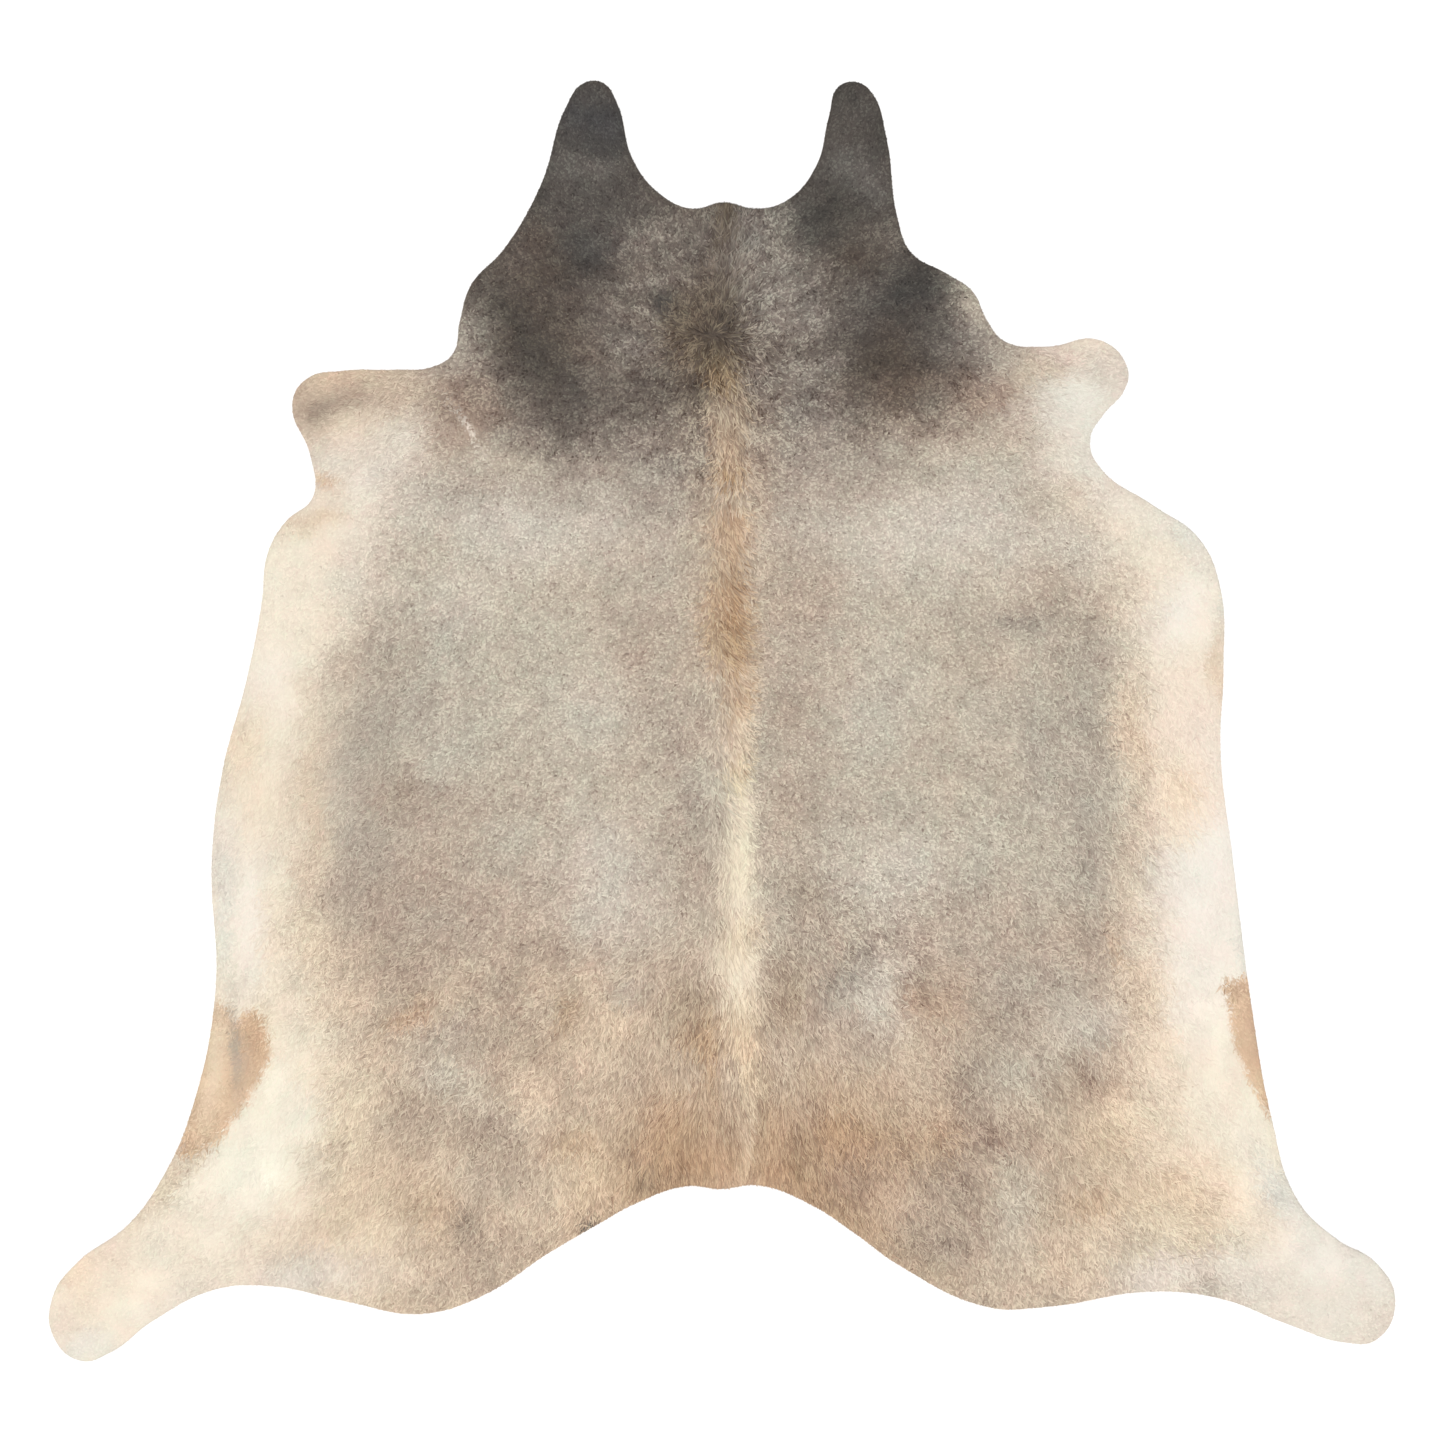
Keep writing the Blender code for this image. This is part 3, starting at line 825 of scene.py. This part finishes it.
def fillRing(ring, spacing, margin):
    # Triangles inside a ring, through a staggered grid; the ring's points come first
    inner = staggeredGrid(spacing)
    inner = inner[insideBy(inner) > margin]
    points = [Vector(p) for p in np.concatenate([ring, inner])]
    edges = [(i, (i + 1) % len(ring)) for i in range(len(ring))]
    # output type 1: only the triangles inside the ring
    places, _, faces, *_ = geometry.delaunay_2d_cdt(points, edges, [], 1, 1e-5)
    return np.array([tuple(p) for p in places]), np.array(faces)


def slab(name, wall, spacing, topHeight, material, colourOf=None):
    # A closed sheet: an underside, rings up its wall, and a top with its own height
    rings = [insetRing(inset) for inset, _ in wall]
    count = len(outline)
    margin = 0.6  # of the spacing: no inner point is nearer the rim
    under, underFaces = fillRing(rings[0], leather["underSpacing"], wall[0][0] + leather["underSpacing"] / 2)
    top, topFaces = fillRing(rings[-1], spacing, wall[-1][0] + spacing * margin)
    points = [np.column_stack([under, np.full(len(under), wall[0][1])])]
    faces = [underFaces[:, ::-1]]
    starts = [0]
    placed = len(under)
    for ring, (_, height) in list(zip(rings, wall))[1:-1]:
        starts.append(placed)
        points.append(np.column_stack([ring, np.full(count, height)]))
        placed += count
    starts.append(placed)
    points.append(np.column_stack([top, topHeight(top)]))
    faces.append(topFaces + placed)
    here = np.arange(count)
    beside = (here + 1) % count
    for low, high in zip(starts, starts[1:]):
        faces.append(np.column_stack([low + here, low + beside, high + beside]))
        faces.append(np.column_stack([low + here, high + beside, high + here]))
    points, faces = np.concatenate(points), np.concatenate(faces)
    colours, grain = colourOf(points[:, 0], points[:, 1]) if colourOf else (None, None)
    piece = meshPiece(name, points, faces, material, colours, grain)
    piece.data.shade_smooth()
    return piece


# Tanned hide: chrome tanned split side, brushed; seen as pale matt suede with short nap
leather = {
    "wall": ((2.6, 0.0), (2.0, 0.4), (2.0, 1.6), (2.4, 2.0)),  # inset, height: the knife-cut edge
    "spacing": 30,
    "underSpacing": 60,
    "colour": "#cdb597",
    "shade": "#b3977a",
    "nap": 1.4,  # the real nap is finer, about 0.5, and would not show
    "patch": 60,
    "ramp": (0.12, 0.4),  # where the shade ends and the full colour begins
    "bump": 0.6,
    "bumpHeight": 0.4,
    "roughness": 0.92,
}

suede, tree, shader = newMaterial("split_suede_brushed", {"Roughness": leather["roughness"], "IOR": 1.5})
place = addNode(tree, "ShaderNodeTexCoord")
nap = addNode(tree, "ShaderNodeTexNoise", values={"Scale": 1 / (leather["nap"] * mm), "Detail": 4.0},
              links={"Vector": place.outputs["Object"]})
patch = addNode(tree, "ShaderNodeTexNoise", values={"Scale": 1 / (leather["patch"] * mm), "Detail": 5.0},
                links={"Vector": place.outputs["Object"]})
both = addNode(tree, "ShaderNodeMath", {"operation": "MULTIPLY"},
               links={0: nap.outputs["Fac"], 1: patch.outputs["Fac"]})
ramp = addNode(tree, "ShaderNodeValToRGB", links={"Fac": both.outputs[0]})
for stop, position, key in zip(ramp.color_ramp.elements, leather["ramp"], ("shade", "colour")):
    stop.position = position
    stop.color = (*linearColour(leather[key]), 1)
bump = addNode(tree, "ShaderNodeBump", links={"Height": nap.outputs["Fac"]},
               values={"Strength": leather["bump"], "Distance": leather["bumpHeight"] * mm})
tree.links.new(ramp.outputs["Color"], shader.inputs["Base Color"])
tree.links.new(bump.outputs["Normal"], shader.inputs["Normal"])

hide = slab("hide_leather", leather["wall"], leather["spacing"],
            lambda places: np.full(len(places), leather["wall"][-1][1]), suede)
print("leather made:", len(hide.data.polygons), "faces")


# Cow hair: short, laid flat, washed; satin, with fine strands and a faint sheen
hair = {
    "roughness": 0.55,
    "gloss": 0.25,
    "sheen": 0.02,
    "sheenSpread": 0.4,
    "strandWidth": 0.6,  # a real hair is 0.06, so each drawn strand stands for several
    "strandLength": 14,
    "strandTone": 0.7,  # share of the coat's grain
    "strandRange": (0.3, 0.7),  # the noise of the darkest and the lightest strand
    "strandRelief": 0.15,
    "gap": 2.2,  # grain of the hair below, seen between the locks
    "shade": 0.9,  # the hair below lies in the shade of the locks
    "rim": ((0, 2.0), (1, 2.7), (4, 3.9), (10, 5.0), (16, 5.2)),  # inset, height of the laid hair
    "wall": ((2.6, 1.9), (1, 2.1), (1, 2.7), (4, 3.9), (10, 5.0)),
    "spacing": 9,
    "swell": ((120, 0.5), (45, 0.3), (18, 0.2)),  # bump size, height
    "swellFrom": 20,  # how far in from the rim it is at its full height
    "contrast": (  # across, along, reach: here the grain is this share stronger, or weaker
        (-15, 600, 80, 0.7), (15, 420, 90, 0.3), (-60, -690, 100, -0.12), (90, -700, 90, -0.12),
        (30, -540, 90, 0.3), (230, -330, 90, 0.35), (420, -650, 100, 0.12), (430, 0, 120, -0.1),
        (650, -700, 110, -0.17), (-60, 0, 90, 0.12), (-200, 930, 100, -0.25), (200, 930, 100, -0.25),
        (-406, 470, 26, -0.7), (-640, 325, 55, -0.6), (-720, -80, 200, -0.5), (805, 95, 60, -0.6),
        (-790, -560, 110, -0.8), (855, -520, 95, -0.8), (960, -900, 130, -0.5), (-980, -920, 150, -0.4),
        (-640, -840, 150, -0.4), (-630, 500, 110, -0.6), (605, 510, 130, -0.5),
    ),
}


# Locks: small pointed tufts of hair, each a slim closed form
locks = {
    "spacing": 3.85,
    "jitter": 0.5,  # share of the spacing
    "rootInset": 1.5,
    "length": (6.5, 26),  # ruffled, combed
    "lengthSpread": 0.25,  # share of the length
    "lengthLimits": (4, 38),
    "evenTrim": 0.6,  # locks of even hair are this share shorter
    "width": (3.7, 2.6),  # ruffled, combed
    "widthSpread": 0.5,
    "widthLimits": (1.2, 4.5),
    "widest": 0.38,  # share of the length
    "rootLift": 0.15,
    "sideLift": 0.2,
    "tipLift": 1.2,
    "standing": (0.7, 1.3),  # each lock stands this many times as high
    "calm": 0.2,  # on the pale belly the locks stand this share as high
    "calmGrain": (0.02, 0.2),  # the belly's grain, and that of the back
    "ridgeRise": 0.05,  # a lock's middle is at least this far above its sides
    "turn": (55, 8),  # degrees, spread of the lie from lock to lock, ruffled and combed
    "overhang": 0.2,  # tips may pass the outline by this much
    "rimTrim": 6,  # and this near the rim locks are slimmer,
    "rimShares": (0.35, 0.15),  # to these shares of their width and length at least
    # the darker root and sides are painted shade under the locks lying over them; the lighter tip is partly
    # bleached hair and partly painted light
    "rootPaintedShade": -1.1,  # brightness of the root, sides and tip, as shares of the grain
    "sidePaintedShade": -0.2,
    "tipBleachAndPaintedLight": 0.35,
    "feather": (4, 8),  # how far the colour of a lock may stray, any way and toward its tip
    "featherLie": (0.3, 1.8),  # and this many times as far toward its tip, ruffled and combed
    "paleToDark": (0.2, 0.38),  # the grain of pale and of dark hair, for the next two:
    "single": (1.0, 0.85),  # how much each lock differs on its own, as a share of the grain
    "clump": (0.5, 1.2),  # and together with its neighbours
    "brightest": 1.1,  # no lock is brighter than this many shares
    "palest": 0.95,  # nor paler than this
    "greyer": 0.2,  # brighter locks take on this share of grey
    "ruddy": 0.05,  # darker locks are this much rosier
    "rosy": 0.007,  # and any lock may be, or greener
    "rosyWay": (0.9, -1, 0.1),  # what rosier does to red, green and blue
    "strandStarts": 900,  # so that no two locks show the same strands
    "names": ("left_flank", "left_side", "left_ribs", "left_back", "left_spine",
              "right_spine", "right_back", "right_ribs", "right_side", "right_flank"),
}


def hairHeight(points):
    # The top of the laid hair before its locks
    depth = insideBy(points)
    insets, heights = zip(*hair["rim"])
    level = np.interp(depth, insets, heights)
    swell = layeredNoise(points[:, 0], points[:, 1], hair["swell"], seeds["swell"])
    return level + swell * easeStep(0, hair["swellFrom"], depth)


def contrastAt(x, y):
    # Above 1 where locks differ more than their colour says, below 1 where the hair is even
    contrast = np.ones(len(x))
    for across, along, reach, share in hair["contrast"]:
        contrast *= 1 + share * np.exp(-((x - across) ** 2 + (y - along) ** 2) / reach ** 2)
    return contrast


def hairMaterial(name, coordinates, scale):
    # Keratin strands over the coat's colour
    material, tree, shader = newMaterial(name, {
        "Roughness": hair["roughness"], "IOR": 1.55, "Specular IOR Level": hair["gloss"],
        "Sheen Weight": hair["sheen"], "Sheen Roughness": hair["sheenSpread"],
    })
    coatColour = addNode(tree, "ShaderNodeAttribute", {"attribute_name": "coat"})
    if coordinates == "strand":
        place = addNode(tree, "ShaderNodeAttribute", {"attribute_name": "strand"}).outputs["Vector"]
    else:
        place = addNode(tree, "ShaderNodeTexCoord").outputs["Object"]
    stretched = addNode(tree, "ShaderNodeVectorMath", {"operation": "MULTIPLY"}, {1: scale}, {0: place})
    strands = addNode(tree, "ShaderNodeTexNoise", values={"Scale": 1.0, "Detail": 3.0, "Roughness": 0.6},
                      links={"Vector": stretched.outputs[0]})
    grain = addNode(tree, "ShaderNodeAttribute", {"attribute_name": "grain"}).outputs["Fac"]
    lighter = addNode(tree, "ShaderNodeMapRange", values={
        "From Min": hair["strandRange"][0], "From Max": hair["strandRange"][1],
        "To Min": -hair["strandTone"], "To Max": hair["strandTone"],
    }, links={"Value": strands.outputs["Fac"]})
    lightness = addNode(tree, "ShaderNodeMath", {"operation": "MULTIPLY_ADD"}, {2: 1.0},
                        {0: lighter.outputs[0], 1: grain})
    tinted = addNode(tree, "ShaderNodeVectorMath", {"operation": "SCALE"},
                     links={0: coatColour.outputs["Color"], "Scale": lightness.outputs[0]})
    bump = addNode(tree, "ShaderNodeBump", values={"Distance": hair["strandRelief"] * mm},
                   links={"Height": strands.outputs["Fac"], "Strength": grain})
    tree.links.new(tinted.outputs[0], shader.inputs["Base Color"])
    tree.links.new(bump.outputs["Normal"], shader.inputs["Normal"])
    return material


def underColour(x, y):
    # The hair seen between the locks, in their shade where the coat is mixed
    shades = hairColour(x, y)
    grain = grainAt(shades) * contrastAt(x, y)
    darker = hair["shade"] * grain[:, None] * np.array([1 - locks["ruddy"], 1 + locks["ruddy"], 1])
    return shades * np.exp(-darker), grain


underHair = hairMaterial("cow_hair_under", "object", (1 / (hair["gap"] * mm),) * 3)
ground = slab("hair_ground", hair["wall"], hair["spacing"], hairHeight, underHair, underColour)
print("ground hair made:", len(ground.data.polygons), "faces")


def lockPlaces(rng):
    # Roots on a shaken staggered grid, kept inside the outline
    roots = staggeredGrid(locks["spacing"])
    roots = roots + rng.uniform(-1, 1, roots.shape) * locks["spacing"] * locks["jitter"]
    return roots[insideBy(roots) > locks["rootInset"]]


def ruffledToCombed(pair, combed):
    return pair[0] + (pair[1] - pair[0]) * combed


def lockPoints(rng, roots, lie, combed, grain, even):
    # Root, tip and two sides of every lock
    count = len(roots)
    heading = lie + np.radians(rng.normal(0, 1, count) * ruffledToCombed(locks["turn"], combed))
    length = ruffledToCombed(locks["length"], combed) * (1 + locks["lengthSpread"] * rng.normal(0, 1, count))
    length = np.clip(length * (1 - locks["evenTrim"] * even), *locks["lengthLimits"])
    width = ruffledToCombed(locks["width"], combed) + locks["widthSpread"] * rng.normal(0, 1, count)
    width = np.clip(width, *locks["widthLimits"])
    ahead = np.stack([np.cos(heading), np.sin(heading)], axis=1)
    aside = np.stack([-ahead[:, 1], ahead[:, 0]], axis=1)
    depth = insideBy(roots)
    leastWidth, leastLength = locks["rimShares"]
    width = width * np.clip(depth / locks["rimTrim"], leastWidth, 1)
    tipDepth = insideBy(roots + ahead * length[:, None])
    over = -locks["overhang"] - tipDepth
    fit = np.where(over > 0, (depth + locks["overhang"]) / np.maximum(depth - tipDepth, 0.1), 1)
    length = length * np.clip(fit, leastLength, 1)
    middle = roots + ahead * (length * locks["widest"])[:, None]
    places = np.stack([
        roots,
        roots + ahead * length[:, None],
        middle + aside * width[:, None] / 2,
        middle - aside * width[:, None] / 2,
    ], axis=1)
    lift = np.array([locks["rootLift"], locks["tipLift"], locks["sideLift"], locks["sideLift"]])
    flat = places.reshape(-1, 2)
    lively = ruffledToCombed((locks["calm"], 1), easeStep(*locks["calmGrain"], grain))
    standing = rng.uniform(*locks["standing"], count) * lively
    heights = hairHeight(flat).reshape(-1, 4) + lift * standing[:, None]
    # the ridge from root to tip stays above the sides, so that no lock is flat or inside out
    ridge = heights[:, 0] + (heights[:, 1] - heights[:, 0]) * locks["widest"]
    short = np.maximum(heights[:, 2:].mean(axis=1) + locks["ridgeRise"] - ridge, 0)
    heights[:, :2] += short[:, None]
    strands = np.zeros((count, 4, 3))
    strands[:, 1, 0] = length
    strands[:, 2:, 0] = (length * locks["widest"])[:, None]
    strands[:, 2, 1], strands[:, 3, 1] = width / 2, -width / 2
    strands[..., 2] = rng.uniform(0, locks["strandStarts"], (count, 1))
    return np.concatenate([places, heights[..., None]], axis=2), strands


rng = np.random.default_rng(seeds["locks"])
roots = lockPlaces(rng)
roots = roots[np.argsort(roots[:, 0])]
lie, combed = flowAt(roots[:, 0], roots[:, 1]), combedAt(roots[:, 0], roots[:, 1])
back = locks["feather"][1] * np.abs(rng.normal(0, 1, len(roots)))
back = back * ruffledToCombed(locks["featherLie"], combed)
contrast = contrastAt(roots[:, 0], roots[:, 1])
even = np.clip(1 - contrast, 0, 1)
stray = rng.normal(0, locks["feather"][0], roots.shape)
stray = stray - back[:, None] * np.stack([np.cos(lie), np.sin(lie)], axis=1)
seen = roots + stray * (1 - locks["evenTrim"] * even)[:, None]
colours = hairColour(seen[:, 0], seen[:, 1])
grain = grainAt(colours) * contrast
alone, shared = [np.interp(grain, locks["paleToDark"], locks[key]) for key in ("single", "clump")]
differ = alone * rng.normal(0, 1, len(roots)) + shared * streakAt(roots[:, 0], roots[:, 1], lie, combed)
differ = np.where(differ > 0, locks["brightest"] * np.tanh(differ / locks["brightest"]), differ)
lighter = np.exp(grain * differ)[:, None]
grey = colours.mean(axis=1)[:, None]
colours = colours * lighter + locks["greyer"] * (lighter - 1) * (grey - colours)
rosier = locks["rosy"] * rng.normal(0, 1, len(roots)) - locks["ruddy"] * grain * differ
colours = colours * np.exp(rosier[:, None] * np.array(locks["rosyWay"]))
points, strands = lockPoints(rng, roots, lie, combed, grain, even)
print("locks placed:", len(roots))

strandScale = (1 / hair["strandLength"], 1 / hair["strandWidth"], 1.0)
lockHair = hairMaterial("cow_hair_laid", "strand", strandScale)
lockCorners = np.array([(0, 1, 2), (0, 3, 1), (0, 2, 3), (1, 3, 2)])
# painted shade at each lock's root and sides, painted light and bleach at its tip
cornerShadingAndBleach = np.array([locks[key] for key in ("rootPaintedShade", "tipBleachAndPaintedLight", "sidePaintedShade", "sidePaintedShade")])
lockShadingAndBleach = np.exp(grain[:, None] * cornerShadingAndBleach)
hairPieces = []
for name, chosen in zip(locks["names"], np.array_split(np.arange(len(roots)), len(locks["names"]))):
    count = len(chosen)
    side = int(np.ceil(np.sqrt(count)))
    # each lock gets its own cell of the texture map, near its neighbours' cells
    order = chosen[np.argsort(roots[chosen, 1], kind="stable")]
    order = np.concatenate([part[np.argsort(roots[part, 0], kind="stable")]
                            for part in np.array_split(order, side)])
    cells = np.stack([np.arange(count) % side, np.arange(count) // side], axis=1)
    # root, tip and two sides, clear of the cell's edges
    inCell = np.array([(0.5, 0.08), (0.5, 0.92), (0.1, 0.4), (0.9, 0.4)])
    spread = (cells[:, None, :] + inCell) / side
    triangles = lockCorners[None] + 4 * np.arange(count)[:, None, None]
    shades = np.clip(colours[order][:, None, :] * lockShadingAndBleach[order][:, :, None], 0, locks["palest"])
    piece = meshPiece("hair_" + name, points[order].reshape(-1, 3), triangles.reshape(-1, 3), lockHair,
                      shades.reshape(-1, 3), np.repeat(grain[order], 4), strands[order].reshape(-1, 3),
                      spread.reshape(-1, 2)[triangles.reshape(-1)])
    piece.data.shade_flat()
    hairPieces.append(piece)
print("locks made:", len(hairPieces), "pieces")

for piece in [hide, ground] + hairPieces:
    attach(piece, "root")
    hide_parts("cowhide")


# Studio: a pale matt floor, an even sky and one broad soft light

studio = {
    "floorSize": 20000,
    "floorColour": "#f2f2f2",
    "sky": 0.98,
    "key": 1.4,
    "keySpread": 40,  # degrees
    "keyTilt": (14, -8),  # degrees from straight down, about x and y
    "camera": (0.8, -2.4),  # the photo's centre on the hide
    "frameWidth": 2312,
    "lens": 70,
    "sensor": 36,
}

paint, tree, shader = newMaterial("floor_paint_matt", {
    "Base Color": (*linearColour(studio["floorColour"]), 1), "Roughness": 0.9,
})
half = studio["floorSize"] / 2
corners = np.array([(-half, -half, 0), (half, -half, 0), (half, half, 0), (-half, half, 0)])
floor = meshPiece("floor", corners, np.array([(0, 1, 2), (0, 2, 3)]), paint)
floor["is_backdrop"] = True

world = bpy.data.worlds.new("studio")
world.use_nodes = True
world.node_tree.nodes["Background"].inputs["Color"].default_value = (1, 1, 1, 1)
world.node_tree.nodes["Background"].inputs["Strength"].default_value = studio["sky"]
bpy.context.scene.world = world
sun = bpy.data.lights.new("key", "SUN")
sun.energy = studio["key"]
sun.angle = np.radians(studio["keySpread"])
key = bpy.data.objects.new("key", sun)
key.rotation_euler = (np.radians(studio["keyTilt"][0]), np.radians(studio["keyTilt"][1]), 0)
bpy.context.scene.collection.objects.link(key)

lens = bpy.data.cameras.new("camera")
lens.lens = studio["lens"]
lens.sensor_width = studio["sensor"]
lens.clip_end = 100
camera = bpy.data.objects.new("camera", lens)
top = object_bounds()[1][2]
away = studio["frameWidth"] * mm * studio["lens"] / studio["sensor"]
camera.location = (studio["camera"][0] * mm, studio["camera"][1] * mm, top + away)
bpy.context.scene.collection.objects.link(camera)
bpy.context.scene.camera = camera
bpy.context.scene.view_settings.view_transform = "Standard"
print("studio ready")
